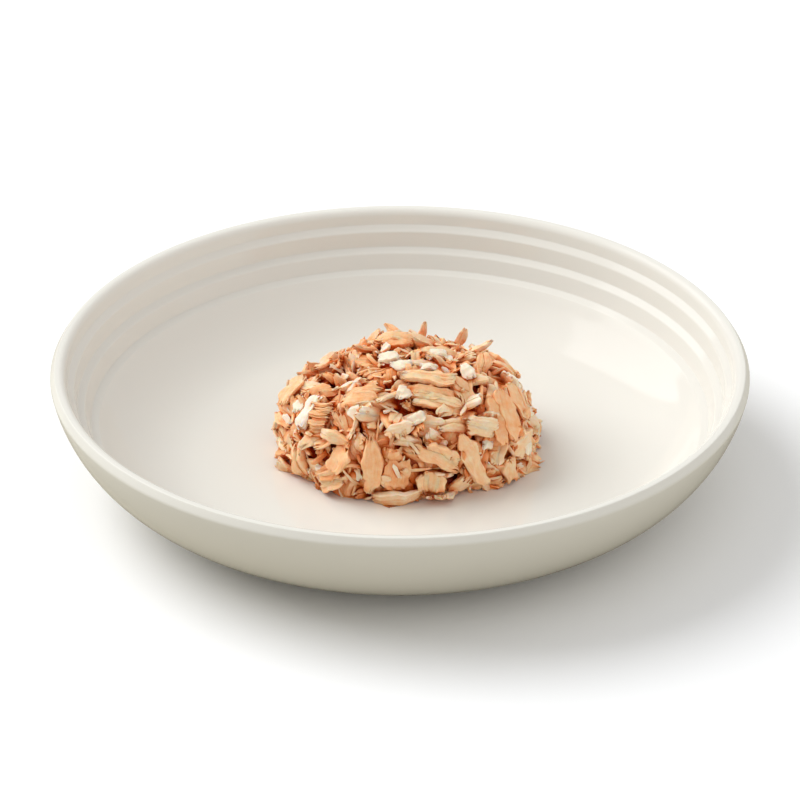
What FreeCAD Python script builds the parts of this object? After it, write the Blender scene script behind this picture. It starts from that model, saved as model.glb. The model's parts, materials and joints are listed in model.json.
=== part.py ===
"""A shallow stoneware bowl with a serving of flaked tuna heaped in its middle.

The bowl is one turned piece: a flat floor, a wall that bends up from it in a single arc, a full
round lip, three turned rings down the inner wall and a foot ring below. The heap is a second
piece, which lies face to face on the floor. The frame's origin is on the bowl's axis, at the
foot's underside, with +Z up and -Y towards the diner.
"""

import FreeCAD, Part
import math
import os
import random

from Sketcher import Constraint

VECTOR = FreeCAD.Vector
OUT = "parts"

# ---------------------------------------------------------------- driving sizes, in mm and degrees
SIZES = [
    ("rim_diameter", 220, "across the lip's outermost circle"),
    ("bowl_height", 41, "foot's underside to the lip's crest"),
    ("lip_thickness", 4.6, "the full round lip"),
    ("wall_bend", 44.7, "outer radius of the arc from the floor to the lip"),
    ("wall_thickness", 6, "wall and floor, measured at a ring's crest"),
    ("foot_height", 3, "ground to the underside of the floor"),
    ("foot_diameter", 122, "across the foot ring's outer edge, on the ground"),
    ("foot_width", 5, "the foot ring's flat, from its outer to its inner edge"),
    ("foot_draft", 12, "lean of the foot ring's two sides, in degrees"),
    ("foot_round", 0.8, "rounding of the foot ring's edges"),
    ("ring_first", 20.4, "angle of the top ring's crest below the bend's centre"),
    ("ring_step", 10.7, "angle from one ring's crest to the next"),
    ("ring_ledge", 3.4, "angle that each ring's ledge takes"),
    ("ring_depth", 1.35, "how deep the turned steps go behind the crests"),
    ("ring_round", 1.7, "rounding of the crests and of the steps' corners"),
    ("heap_width", 83, "the heap's foot, left to right"),
    ("heap_length", 71, "the heap's foot, front to back"),
    ("heap_height", 33, "floor to the heap's top, where no flake is"),
    ("heap_slump", 5.5, "how much lower the heap's left shoulder is"),
    ("heap_right", 2.5, "how far the heap lies to the right of the bowl's axis"),
    ("heap_back", 1, "how far it lies behind the axis"),
    ("heap_shoulder", 2.7, "exponent of the heap's outline: 2 is an ellipse, more is squarer"),
    ("flake_length", 15, "a large flake in the heap's relief"),
    ("flake_width", 6, "the same flake, across"),
    ("flake_relief", 2.4, "how far a flake stands out of the heap"),
]
RING_COUNT = 3

# What makes the heap uneven. Each lobe is a wave round it: count, share of the radius, phase.
HEAP_LOBES = [(2, 0.02, 0.6), (3, 0.02, 2.1), (5, 0.015, 4.0)]
HEAP_SKEW = 0.35      # how much squarer its left side is, and how much rounder its right side
HEAP_SLUMP_AT = -0.4  # where the shoulder starts, as a share of half the heap's width
HEAP_SLUMP_RUN = 3.0  # how gently it starts, in mm
HEAP_PITCH = 2.1      # spacing of the heap's vertices, in mm
HEAP_STEPS = 200      # steps in which its profile is measured
HEAP_FLAKES = 150
HEAP_SEED = 11


def make_sheet(doc):
    """The spreadsheet that holds every driving size, one row each: name, value, meaning."""
    sheet = doc.addObject("Spreadsheet::Sheet", "Sizes")
    for row, (alias, value, meaning) in enumerate(SIZES, start=1):
        sheet.set("A%d" % row, alias)
        sheet.set("B%d" % row, str(value))
        sheet.set("C%d" % row, meaning)
        sheet.setAlias("B%d" % row, alias)
    doc.recompute()
    return sheet


def origin_plane(body, role):
    """One of a body's own origin planes, found by its role."""
    return next(f for f in body.Origin.OriginFeatures if f.Role == role)


def new_sketch(body, name):
    """A sketch on the body's XZ plane: its x is the radius and its y is the height."""
    sketch = body.newObject("Sketcher::SketchObject", name)
    sketch.AttachmentSupport = (origin_plane(body, "XZ_Plane"), [""])
    sketch.MapMode = "FlatFace"
    return sketch


def bind(sketch, constraint, name, expression):
    """Adds a constraint, names it and drives it from the sheet."""
    index = sketch.addConstraint(constraint)
    sketch.renameConstraint(index, name)
    sketch.setExpression("Constraints." + name, expression)


def turn(body, kind, sketch, name):
    """Turns a sketch a full circle about the body's Z axis: a Revolution adds, a Groove cuts."""
    feature = body.newObject("PartDesign::" + kind, name)
    feature.Profile = sketch
    feature.ReferenceAxis = (sketch, ["V_Axis"])
    feature.Angle = 360.0
    sketch.Visibility = False
    return feature


# ---------------------------------------------------------------- the bowl
# Expressions that more than one constraint uses.
LIP_RADIUS = "Sizes.lip_thickness / 2"
BEND_HEIGHT = "Sizes.foot_height + Sizes.wall_bend"
INNER_BEND = "(Sizes.wall_bend - Sizes.wall_thickness)"


def bend_centre(size):
    """Where the wall's arc has its centre, from the lip's place and the floor's height."""
    lip = size("lip_thickness") / 2
    height = size("foot_height") + size("wall_bend")
    lip_height = size("bowl_height") - lip
    reach = size("wall_bend") - lip
    lean = math.asin((height - lip_height) / reach)
    radius = size("rim_diameter") / 2 - lip - reach * math.cos(lean)
    return radius, height, lean


def ring_corners(size):
    """The inner wall's corners from the lip down: the foot of a step, then its ledge's crest.

    Each is (radius from the bend's centre, angle below it, the same two as expressions).
    """
    corners = []
    inner = size("wall_bend") - size("wall_thickness")
    for ring in range(RING_COUNT):
        crest = size("ring_first") + ring * size("ring_step")
        crest_text = "(Sizes.ring_first + %d * Sizes.ring_step)" % ring
        step_text = "(%s - Sizes.ring_ledge)" % crest_text
        deep_text = "(%s + Sizes.ring_depth)" % INNER_BEND
        deep = inner + size("ring_depth")
        corners.append((deep, crest - size("ring_ledge"), deep_text, step_text))
        corners.append((inner, crest, INNER_BEND, crest_text))
    return corners


def wall_section(body, size):
    """Half of the bowl's section, with its rings as a zigzag, closed along the axis."""
    sketch = new_sketch(body, "wall_section")
    cx, cz, lean = bend_centre(size)
    lip = size("lip_thickness") / 2
    outer = size("wall_bend")
    inner = outer - size("wall_thickness")
    lip_x = size("rim_diameter") / 2 - lip
    lip_z = size("bowl_height") - lip
    floor_z = cz - inner
    under_z = cz - outer
    corners = ring_corners(size)

    def polar(radius, angle):
        turned = math.radians(angle)
        return VECTOR(cx + radius * math.cos(turned), cz - radius * math.sin(turned), 0)

    def arc(x, z, radius, start, end):
        circle = Part.Circle(VECTOR(x, z, 0), VECTOR(0, 0, 1), radius)
        return sketch.addGeometry(Part.ArcOfCircle(circle, start, end), False)

    def line(start, end):
        return sketch.addGeometry(Part.LineSegment(start, end), False)

    last_angle = math.radians(corners[-1][1])
    points = [polar(radius, angle) for radius, angle, _, _ in corners]
    # the lip's inner side meets the first step's foot along a tangent
    reach = points[0] - VECTOR(lip_x, lip_z, 0)
    lip_end = math.atan2(reach.y, reach.x) - math.acos(lip / reach.Length)
    lip_inner = VECTOR(lip_x + lip * math.cos(lip_end), lip_z + lip * math.sin(lip_end), 0)

    under = line(VECTOR(0, under_z, 0), VECTOR(cx, under_z, 0))
    wall_out = arc(cx, cz, outer, -math.pi / 2, -lean)
    lip_low = arc(lip_x, lip_z, lip, -lean, 0)
    lip_out = arc(lip_x, lip_z, lip, 0, math.pi / 2)
    lip_in = arc(lip_x, lip_z, lip, math.pi / 2, lip_end % (2 * math.pi))
    path = [lip_inner] + points
    steps = [line(a, b) for a, b in zip(path[:-1], path[1:])]
    wall_in = arc(cx, cz, inner, -math.pi / 2, -last_angle)
    floor = line(VECTOR(cx, floor_z, 0), VECTOR(0, floor_z, 0))
    axis = line(VECTOR(0, floor_z, 0), VECTOR(0, under_z, 0))

    # what joins: 1 is a curve's start and 2 its end, and an arc starts at its lower angle
    add = sketch.addConstraint
    add(Constraint("Tangent", under, 2, wall_out, 1))
    add(Constraint("Tangent", wall_out, 2, lip_low, 1))
    for lower, upper in ((lip_low, lip_out), (lip_out, lip_in)):
        add(Constraint("Coincident", lower, 2, upper, 1))
        add(Constraint("Coincident", lower, 3, upper, 3))
    add(Constraint("Horizontal", lip_out, 3, lip_out, 1))
    add(Constraint("Vertical", lip_in, 3, lip_in, 1))
    add(Constraint("Tangent", lip_in, 2, steps[0], 1))
    for upper, lower in zip(steps[:-1], steps[1:]):
        add(Constraint("Coincident", upper, 2, lower, 1))
    add(Constraint("Coincident", steps[-1], 2, wall_in, 2))
    add(Constraint("Tangent", wall_in, 1, floor, 1))
    add(Constraint("Coincident", floor, 2, axis, 1))
    add(Constraint("Coincident", axis, 2, under, 1))
    add(Constraint("Coincident", wall_in, 3, wall_out, 3))
    add(Constraint("PointOnObject", under, 1, -2))
    add(Constraint("Vertical", axis))
    add(Constraint("Horizontal", under))

    bind(sketch, Constraint("DistanceY", -1, 1, under, 1, under_z), "under_z", "Sizes.foot_height")
    bind(sketch, Constraint("Radius", wall_out, outer), "bend", "Sizes.wall_bend")
    bind(sketch, Constraint("Radius", wall_in, inner), "inner_bend", INNER_BEND)
    bind(sketch, Constraint("Radius", lip_in, lip), "lip", LIP_RADIUS)
    bind(sketch, Constraint("DistanceX", -1, 1, lip_in, 3, lip_x), "lip_x",
         "Sizes.rim_diameter / 2 - " + LIP_RADIUS)
    bind(sketch, Constraint("DistanceY", -1, 1, lip_in, 3, lip_z), "lip_z",
         "Sizes.bowl_height - " + LIP_RADIUS)
    for number, (_, _, radius_text, angle_text) in enumerate(corners):
        point = points[number]
        across = "%s * cos(%s)" % (radius_text, angle_text)
        down = "%s * sin(%s)" % (radius_text, angle_text)
        bind(sketch, Constraint("DistanceX", wall_out, 3, steps[number], 2, point.x - cx),
             "corner%d_x" % number, across)
        if number < len(corners) - 1:  # the last crest lies on the inner bend, so x fixes it
            bind(sketch, Constraint("DistanceY", steps[number], 2, wall_out, 3, cz - point.y),
                 "corner%d_z" % number, down)
    return sketch


def foot_section(body, size):
    """The foot ring's section: a tapered strip from the ground into the floor's thickness."""
    sketch = new_sketch(body, "foot_section")
    outer = size("foot_diameter") / 2
    inner = outer - size("foot_width")
    top = size("foot_height") + size("wall_thickness") / 2
    spread = top * math.tan(math.radians(size("foot_draft")))
    corners = [
        VECTOR(inner, 0, 0),
        VECTOR(outer, 0, 0),
        VECTOR(outer + spread, top, 0),
        VECTOR(inner - spread, top, 0),
    ]
    sides = []
    for start, end in zip(corners, corners[1:] + corners[:1]):
        sides.append(sketch.addGeometry(Part.LineSegment(start, end), False))
    for one, other in zip(sides, sides[1:] + sides[:1]):
        sketch.addConstraint(Constraint("Coincident", one, 2, other, 1))
    ground, outside, roof, inside = sides
    sketch.addConstraint(Constraint("Horizontal", roof))
    sketch.addConstraint(Constraint("PointOnObject", ground, 1, -1))
    sketch.addConstraint(Constraint("PointOnObject", ground, 2, -1))
    rise = "(Sizes.foot_height + Sizes.wall_thickness / 2)"
    lean = rise + " * tan(Sizes.foot_draft)"
    edge = "Sizes.foot_diameter / 2"
    bind(sketch, Constraint("DistanceX", -1, 1, ground, 2, outer), "outer", edge)
    bind(sketch, Constraint("DistanceX", -1, 1, ground, 1, inner), "inner", edge + " - Sizes.foot_width")
    bind(sketch, Constraint("DistanceY", -1, 1, outside, 2, top), "rise", rise)
    bind(sketch, Constraint("DistanceX", ground, 2, outside, 2, spread), "outer_lean", lean)
    bind(sketch, Constraint("DistanceX", inside, 1, ground, 1, spread), "inner_lean", lean)
    return sketch


def circles_at(shape, places, tolerance=0.02):
    """Names of the shape's circular edges whose (radius, height) is one of the places."""
    names = []
    for number, edge in enumerate(shape.Edges, start=1):
        if not isinstance(edge.Curve, Part.Circle):
            continue
        here = (edge.Curve.Radius, edge.Curve.Center.z)
        if any(math.dist(here, place) < tolerance for place in places):
            names.append("Edge%d" % number)
    return names


def round_off(body, base, names, label, alias):
    """Rounds the named edges of a feature by one of the sheet's sizes."""
    fillet = body.newObject("PartDesign::Fillet", label)
    fillet.Base = (base, names)
    fillet.setExpression("Radius", "Sizes." + alias)
    return fillet


def make_bowl(doc, size):
    """The bowl: its wall and floor turned in one piece, the foot ring, then the roundings."""
    body = doc.addObject("PartDesign::Body", "bowl")
    body.Label = "bowl"
    turned = turn(body, "Revolution", wall_section(body, size), "wall_and_floor")
    doc.recompute()

    cx, cz, _ = bend_centre(size)
    places = []
    for radius, angle, _, _ in ring_corners(size):
        turned_angle = math.radians(angle)
        places.append((cx + radius * math.cos(turned_angle), cz - radius * math.sin(turned_angle)))
    round_off(body, turned, circles_at(turned.Shape, places), "ring_rounds", "ring_round")
    doc.recompute()

    foot = turn(body, "Revolution", foot_section(body, size), "foot_ring")
    doc.recompute()
    outer = size("foot_diameter") / 2
    edges = circles_at(foot.Shape, [(outer, 0), (outer - size("foot_width"), 0)])
    round_off(body, foot, edges, "foot_rounds", "foot_round")
    body.Placement = FreeCAD.Placement()
    doc.recompute()
    return body


# ---------------------------------------------------------------- the heap of flaked tuna
def smooth_point(size, azimuth, rise):
    """A point of the heap without its flakes: rise runs from 0 at the foot to 1 at the top.

    The profile is a superellipse, and slow waves make plan and top as uneven as a spooned heap.
    """
    power = 2 / (size("heap_shoulder") - HEAP_SKEW * math.cos(azimuth))
    tilt = rise * math.pi / 2
    half_width = size("heap_width") / 2
    half_length = size("heap_length") / 2
    lobes = sum(share * math.sin(count * azimuth + phase) for count, share, phase in HEAP_LOBES)
    spread = math.cos(tilt) ** power * (1 + lobes)
    x = half_width * spread * math.cos(azimuth)
    y = half_length * spread * math.sin(azimuth)
    slump = size("heap_slump") / (1 + math.exp((x - HEAP_SLUMP_AT * half_width) / HEAP_SLUMP_RUN))
    height = (size("heap_height") - slump) * math.sin(tilt) ** power
    return VECTOR(x, y, height)


def flake_places(size):
    """The flakes of the relief: each one's centre, the way it points and its scale.

    The golden angle spreads them evenly round the heap, and equal steps of area up it.
    """
    shake = random.Random(HEAP_SEED)
    golden_angle = math.pi * (3 - math.sqrt(5))
    places = []
    for number in range(HEAP_FLAKES):
        azimuth = number * golden_angle
        rise = 1 - math.sqrt(1 - (number + 0.5) / HEAP_FLAKES)
        centre = smooth_point(size, azimuth, rise)
        across = VECTOR(-math.sin(azimuth), math.cos(azimuth), 0)
        up = (smooth_point(size, azimuth, rise + 1 / HEAP_STEPS) - centre).normalize()
        turned = shake.uniform(0, math.pi)
        along = across * math.cos(turned) + up * math.sin(turned)
        places.append((centre, along, shake.uniform(0.6, 1.2)))
    return places


def relief(size, point, places):
    """How far the flakes lift a point of the heap: the highest flake over it counts."""
    highest = 0.0
    for centre, along, scale in places:
        offset = point - centre
        half_length = size("flake_length") * scale / 2
        half_width = size("flake_width") * scale / 2
        if offset.Length > half_length:
            continue
        lengthwise = offset.dot(along)
        sideways = (offset - along * lengthwise).Length
        reach = (lengthwise / half_length) ** 2 + (sideways / half_width) ** 2
        highest = max(highest, (1 - reach ** 2) * scale)
    return highest * size("flake_relief")


def heap_rings(size):
    """The heap's vertices as level rings from the foot up, evenly spaced over its surface."""
    places = flake_places(size)
    girth = math.pi * (size("heap_width") + size("heap_length")) / 2
    profile = [smooth_point(size, 0, step / HEAP_STEPS) for step in range(HEAP_STEPS + 1)]
    runs = [0.0]  # length along the profile at each step
    for lower, upper in zip(profile[:-1], profile[1:]):
        runs.append(runs[-1] + (upper - lower).Length)
    rows = round(runs[-1] / HEAP_PITCH)
    rings = []
    for row in range(rows):
        wanted = runs[-1] * row / rows
        rise = next(step for step, run in enumerate(runs) if run >= wanted) / HEAP_STEPS
        share = smooth_point(size, 0, rise).x / profile[0].x
        columns = max(6, round(girth * share / HEAP_PITCH))
        ring = []
        for column in range(columns):
            azimuth = 2 * math.pi * column / columns
            point = smooth_point(size, azimuth, rise)
            outward = VECTOR(point.x, point.y, point.z - (1 - rise) * size("heap_height") / 2)
            if row == 0:
                outward.z = 0
            lift = relief(size, point, places) - size("flake_relief") / 2
            ring.append(point + outward.normalize() * lift)
        rings.append(ring)
    return rings


def zip_rings(lower, upper):
    """Triangles between two rings with unequal counts of points, evenly spaced in both."""
    triangles = []
    low, high = 0, 0
    while low < len(lower) or high < len(upper):
        here, above = lower[low % len(lower)], upper[high % len(upper)]
        if (low + 1) / len(lower) <= (high + 1) / len(upper):
            low += 1
            triangles.append([here, lower[low % len(lower)], above])
        else:
            high += 1
            triangles.append([here, upper[high % len(upper)], above])
    return triangles


def make_heap(doc, size):
    """The heap: a closed faceted solid on the bowl's floor, with the flakes as its relief."""
    rings = heap_rings(size)
    foot, last = rings[0], rings[-1]
    top = smooth_point(size, 0, 1)
    outlines = [foot]
    for lower, upper in zip(rings[:-1], rings[1:]):
        outlines += zip_rings(lower, upper)
    outlines += [[last[side - 1], last[side], top] for side in range(len(last))]
    faces = [Part.Face(Part.makePolygon(outline + outline[:1])) for outline in outlines]
    solid = Part.Solid(Part.Shell(faces))
    if solid.Volume < 0:
        solid.reverse()
    heap = doc.addObject("Part::Feature", "tuna_heap")
    heap.Label = "tuna_heap"
    heap.Shape = solid
    floor_height = size("foot_height") + size("wall_thickness")
    place = VECTOR(size("heap_right"), size("heap_back"), floor_height)
    heap.Placement = FreeCAD.Placement(place, FreeCAD.Rotation())
    return heap


# ---------------------------------------------------------------- build, test, write
def check(doc, pieces):
    """Stops if any object failed, or a piece is null, invalid or not one solid."""
    for item in doc.Objects:
        if "Invalid" in item.State or "Error" in item.State:
            raise RuntimeError("%s failed: %s" % (item.Name, item.State))
    for piece in pieces:
        shape = piece.Shape
        if shape.isNull() or not shape.isValid() or len(shape.Solids) != 1:
            raise RuntimeError("%s is not one valid solid" % piece.Label)


def main():
    doc = FreeCAD.newDocument("tuna_bowl")
    sheet = make_sheet(doc)

    def size(alias):
        return float(sheet.get(alias))

    pieces = [make_bowl(doc, size), make_heap(doc, size)]
    doc.recompute()
    check(doc, pieces)
    os.makedirs(OUT, exist_ok=True)
    for piece in pieces:
        piece.Shape.exportStep(os.path.join(OUT, piece.Label + ".step"))
        box = piece.Shape.optimalBoundingBox()
        print("%-10s %7.1f x %6.1f x %5.1f mm, z %5.2f to %5.2f, %8.0f mm3, %d faces" % (
            piece.Label, box.XLength, box.YLength, box.ZLength, box.ZMin, box.ZMax,
            piece.Shape.Volume, len(piece.Shape.Faces)))


main()
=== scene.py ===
import json
import math
import random

import bmesh
import bpy
from mathutils import Matrix, Vector, noise
from mathutils.bvhtree import BVHTree

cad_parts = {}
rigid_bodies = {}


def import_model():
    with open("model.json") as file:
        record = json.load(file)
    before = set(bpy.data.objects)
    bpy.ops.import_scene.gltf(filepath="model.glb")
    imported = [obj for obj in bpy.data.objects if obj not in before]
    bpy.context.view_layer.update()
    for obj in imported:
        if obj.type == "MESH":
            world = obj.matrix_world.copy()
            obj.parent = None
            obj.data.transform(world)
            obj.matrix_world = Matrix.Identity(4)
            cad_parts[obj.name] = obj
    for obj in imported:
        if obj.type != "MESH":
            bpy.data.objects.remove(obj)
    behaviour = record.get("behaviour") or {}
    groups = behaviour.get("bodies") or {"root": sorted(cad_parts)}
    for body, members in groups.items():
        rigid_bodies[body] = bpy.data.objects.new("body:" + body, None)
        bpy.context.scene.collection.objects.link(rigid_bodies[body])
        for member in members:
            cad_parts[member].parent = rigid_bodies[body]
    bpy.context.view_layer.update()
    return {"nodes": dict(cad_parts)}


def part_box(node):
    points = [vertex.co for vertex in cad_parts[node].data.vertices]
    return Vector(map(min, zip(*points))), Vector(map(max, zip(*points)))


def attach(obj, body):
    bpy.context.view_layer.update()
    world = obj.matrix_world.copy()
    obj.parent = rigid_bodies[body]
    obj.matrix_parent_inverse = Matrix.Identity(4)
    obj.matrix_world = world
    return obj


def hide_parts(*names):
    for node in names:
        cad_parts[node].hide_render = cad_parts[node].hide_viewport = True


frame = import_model()


# ------------------------------------------------------------------ table, light and camera
# The bowl stands on a plain white table. A soft window behind it on the left shows in the
# glaze, wide soft light falls from the left, and the rest comes evenly from all round.
MM = 0.001
CAMERA_RISE = math.radians(28.7)
CAMERA_DISTANCE = 1.5
CAMERA_LENS = 214.5
FRAMING = 0.0485                 # share of the frame by which the rim lies above its middle
RIM_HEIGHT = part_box("bowl")[1].z
TABLE_HALF = 3.0
WINDOW_PLACE = Vector((-1.00, 0.76, 1.00))
WINDOW_SIZE = 1.05
WINDOW_POWER = 4.0
SIDE_WAY = Vector((-0.68, 0.28, 0.68))
SIDE_WIDTH = math.radians(50)
SIDE_POWER = 2.25
SIDE_TINT = (0.97, 0.985, 1.0)
ROOM_LEVEL = 0.61                 # how bright the room is, level with the table
ROOM_SLOPE = (0.30, -0.15, 0.0)   # how much brighter it gets to the right, away and overhead

scene = bpy.context.scene
scene.view_settings.view_transform = "Standard"


def srgb(code):
    """A colour socket's linear value from an sRGB hex code."""
    channels = [int(code[place:place + 2], 16) / 255 for place in (1, 3, 5)]
    linear = [c / 12.92 if c <= 0.04045 else ((c + 0.055) / 1.055) ** 2.4 for c in channels]
    return (*linear, 1.0)


def live(sockets, name):
    """The socket of that name that the node uses in its present setting."""
    return next(socket for socket in sockets if socket.name == name and socket.enabled)


def add_node(tree, kind, settings, *inputs, **named):
    """Adds a node with its settings. Inputs, in order or by name, are sockets or values."""
    node = tree.nodes.new(kind)
    for name, value in settings.items():
        setattr(node, name, value)
    wanted = [(node.inputs[number], value) for number, value in enumerate(inputs)]
    wanted += [(live(node.inputs, name.replace("_", " ")), value) for name, value in named.items()]
    for socket, value in wanted:
        if isinstance(value, bpy.types.NodeSocket):
            tree.links.new(value, socket)
        else:
            socket.default_value = value
    return node


def new_material(name):
    """An empty node material and its tree."""
    material = bpy.data.materials.new(name)
    material.use_nodes = True
    material.node_tree.nodes.clear()
    return material, material.node_tree


camera_data = bpy.data.cameras.new("camera")
camera_data.lens = CAMERA_LENS
camera_data.clip_end = 10
camera_data.shift_y = -FRAMING
camera = bpy.data.objects.new("camera", camera_data)
sight = Vector((0, math.cos(CAMERA_RISE), -math.sin(CAMERA_RISE)))
camera.location = Vector((0, 0, RIM_HEIGHT)) - sight * CAMERA_DISTANCE
camera.rotation_euler = (math.pi / 2 - CAMERA_RISE, 0, 0)
scene.collection.objects.link(camera)
scene.camera = camera

world = bpy.data.worlds.new("studio")
scene.world = world
world.use_nodes = True
tree = world.node_tree
tree.nodes.clear()
way = add_node(tree, "ShaderNodeTexCoord", {}).outputs["Generated"]
slope = add_node(tree, "ShaderNodeVectorMath", {"operation": "DOT_PRODUCT"}, way, ROOM_SLOPE)
glow = add_node(tree, "ShaderNodeMath", {"operation": "ADD"}, slope.outputs["Value"], ROOM_LEVEL)
room = add_node(tree, "ShaderNodeBackground", {}, Color=srgb("#FFFFFF"), Strength=glow.outputs[0])
backdrop = add_node(tree, "ShaderNodeBackground", {}, Color=srgb("#FFFFFF"), Strength=1.0)
seen = add_node(tree, "ShaderNodeLightPath", {}).outputs["Is Camera Ray"]
choice = add_node(tree, "ShaderNodeMixShader", {}, seen, room.outputs[0], backdrop.outputs[0])
add_node(tree, "ShaderNodeOutputWorld", {}, choice.outputs[0])

window_lamp = bpy.data.lights.new("window", "AREA")
window_lamp.size = WINDOW_SIZE
window_lamp.energy = WINDOW_POWER
side_lamp = bpy.data.lights.new("left_side", "SUN")
side_lamp.angle = SIDE_WIDTH
side_lamp.energy = SIDE_POWER
side_lamp.color = SIDE_TINT
for name, lamp, place in (("window", window_lamp, WINDOW_PLACE), ("left_side", side_lamp, SIDE_WAY)):
    light = bpy.data.objects.new(name, lamp)
    light.location = place
    light.rotation_euler = place.to_track_quat("Z", "Y").to_euler()
    scene.collection.objects.link(light)
light.visible_glossy = False      # the side light is too wide to show as a shape in the glaze

table_mesh = bpy.data.meshes.new("table")
corners = [(x * TABLE_HALF, y * TABLE_HALF, 0) for x, y in ((-1, -1), (1, -1), (1, 1), (-1, 1))]
table_mesh.from_pydata(corners, [], [(0, 1, 2, 3)])
table = bpy.data.objects.new("table", table_mesh)
scene.collection.objects.link(table)
table_paint, tree = new_material("white_table")
shown = add_node(tree, "ShaderNodeBsdfDiffuse", {}, Color=srgb("#FFFFFF"))
bounced = add_node(tree, "ShaderNodeBsdfDiffuse", {}, Color=srgb("#C2BDAE"))
seen = add_node(tree, "ShaderNodeLightPath", {}).outputs["Is Camera Ray"]
choice = add_node(tree, "ShaderNodeMixShader", {}, seen, bounced.outputs[0], shown.outputs[0])
add_node(tree, "ShaderNodeOutputMaterial", {}, choice.outputs[0])
table_mesh.materials.append(table_paint)


# ------------------------------------------------------------------ the bowl
# Stoneware turned on a wheel: a flat floor, a wall bent up in one arc, a lip that leans in and
# three turned rings, under a glossy off-white glaze. The foot ring's underside is bare clay.
# Its outline's sizes are in mm.
RIM_RADIUS = (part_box("bowl")[1].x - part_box("bowl")[0].x) / 2 / MM
LIP_RADIUS = 2.3                  # half the lip's thickness
LIP_BEVEL = (1.4, 2.2)            # the lip leans in outside, by so much over so much height
LIP_ROUNDS = (1.5, 0.6, 2.6)      # below that lean, at its top edge, and inside
LIP_CREST = RIM_HEIGHT / MM
FOOT_HEIGHT = 3.0
FOOT_OUTER = 61.0
FOOT_INNER = 56.0
FOOT_DRAFT = math.tan(math.radians(12)) * FOOT_HEIGHT
FOOT_ROUNDS = (0.5, 0.8)          # where the foot meets the bowl and at its lower edges
OUTER_BEND = 44.7
WALL = 6.0
INNER_BEND = OUTER_BEND - WALL
RINGS = 3
RING_FIRST = 20.4                 # degrees round the bend, as the step and the ledge are
RING_STEP = 10.7
RING_LEDGE = 3.4
RINGS_END = 5                     # degrees from the last crest to the plain wall
RING_DEPTH = 1.35
RING_ROUNDS = (0.7, 1.4)          # in the hollow and on the crest
ARC_STEP = 2.5                    # degrees
CORNER_STEP = math.radians(8)
TURNED_SIDES = 288
WELD = 0.02 * MM
GLAZE_WAVE = 30 * MM
WAVE_HEIGHT = 0.06 * MM
GLAZE_LINE = 0.6 * MM             # how high the bare clay reaches
CLAY_GRIT = 0.4 * MM
GRIT_HEIGHT = 0.1 * MM

lip_x = RIM_RADIUS - LIP_RADIUS
bend_z = FOOT_HEIGHT + OUTER_BEND
lean = math.asin((bend_z - (LIP_CREST - LIP_RADIUS)) / (OUTER_BEND - LIP_RADIUS))
bend_x = lip_x - (OUTER_BEND - LIP_RADIUS) * math.cos(lean)


def on_wall(angle, depth=0.0):
    """A point of the inner wall, at an angle below the bend's centre, that deep in the clay."""
    reach = INNER_BEND + depth
    turned = math.radians(angle)
    return bend_x + reach * math.cos(turned), bend_z - reach * math.sin(turned)


def arc(centre, radius, start, end):
    """Points of an arc between two angles in degrees, as corners that aren't rounded."""
    count = math.ceil(abs(end - start) / ARC_STEP)
    angles = [math.radians(start + (end - start) * part / count) for part in range(count + 1)]
    return [(centre[0] + radius * math.cos(a), centre[1] + radius * math.sin(a), 0.0) for a in angles]


steps = []
for ring in range(RINGS):
    crest = RING_FIRST + ring * RING_STEP
    steps.append((*on_wall(crest - RING_LEDGE, RING_DEPTH), RING_ROUNDS[0]))
    steps.append((*on_wall(crest), RING_ROUNDS[1]))
leaning = math.degrees(lean)
section = [
    (0.0, FOOT_HEIGHT, 0.0),
    (FOOT_INNER - FOOT_DRAFT, FOOT_HEIGHT, FOOT_ROUNDS[0]),
    (FOOT_INNER, 0.0, FOOT_ROUNDS[1]),
    (FOOT_OUTER, 0.0, FOOT_ROUNDS[1]),
    (FOOT_OUTER + FOOT_DRAFT, FOOT_HEIGHT, FOOT_ROUNDS[0]),
    *arc((bend_x, bend_z), OUTER_BEND, -90, -leaning),
    (RIM_RADIUS, LIP_CREST - LIP_BEVEL[1], LIP_ROUNDS[0]),
    (RIM_RADIUS - LIP_BEVEL[0], LIP_CREST, LIP_ROUNDS[1]),
    (RIM_RADIUS - 2 * LIP_RADIUS, LIP_CREST, LIP_ROUNDS[2]),
    *steps,
    *arc((bend_x, bend_z), INNER_BEND, -crest - RINGS_END, -90),
    (bend_x / 2, FOOT_HEIGHT + WALL, 0.0),
    (0.0, FOOT_HEIGHT + WALL, 0.0),
]


def rounded(corners):
    """An outline's points, with each corner (x, z, radius) replaced by an arc of its radius."""
    points = []
    for number, (x, z, radius) in enumerate(corners):
        here = Vector((x, z))
        if radius == 0:
            points.append(here)
            continue
        before = (Vector(corners[number - 1][:2]) - here).normalized()
        after = (Vector(corners[number + 1][:2]) - here).normalized()
        turn = math.pi - before.angle(after)
        start = here + before * radius * math.tan(turn / 2)
        centre = here + (before + after).normalized() * radius / math.cos(turn / 2)
        count = max(2, math.ceil(turn / CORNER_STEP))
        way = 1 if before.cross(after) < 0 else -1
        for part in range(count + 1):
            spoke = Matrix.Rotation(way * turn * part / count, 2) @ (start - centre)
            points.append(centre + spoke)
    return points


outline = [(point.x * MM, 0, point.y * MM) for point in rounded(section)]
outline_mesh = bpy.data.meshes.new("bowl_outline")
outline_mesh.from_pydata(outline, [(k, k + 1) for k in range(len(outline) - 1)], [])
bowl = bpy.data.objects.new("glazed_bowl", outline_mesh)
scene.collection.objects.link(bowl)

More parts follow.
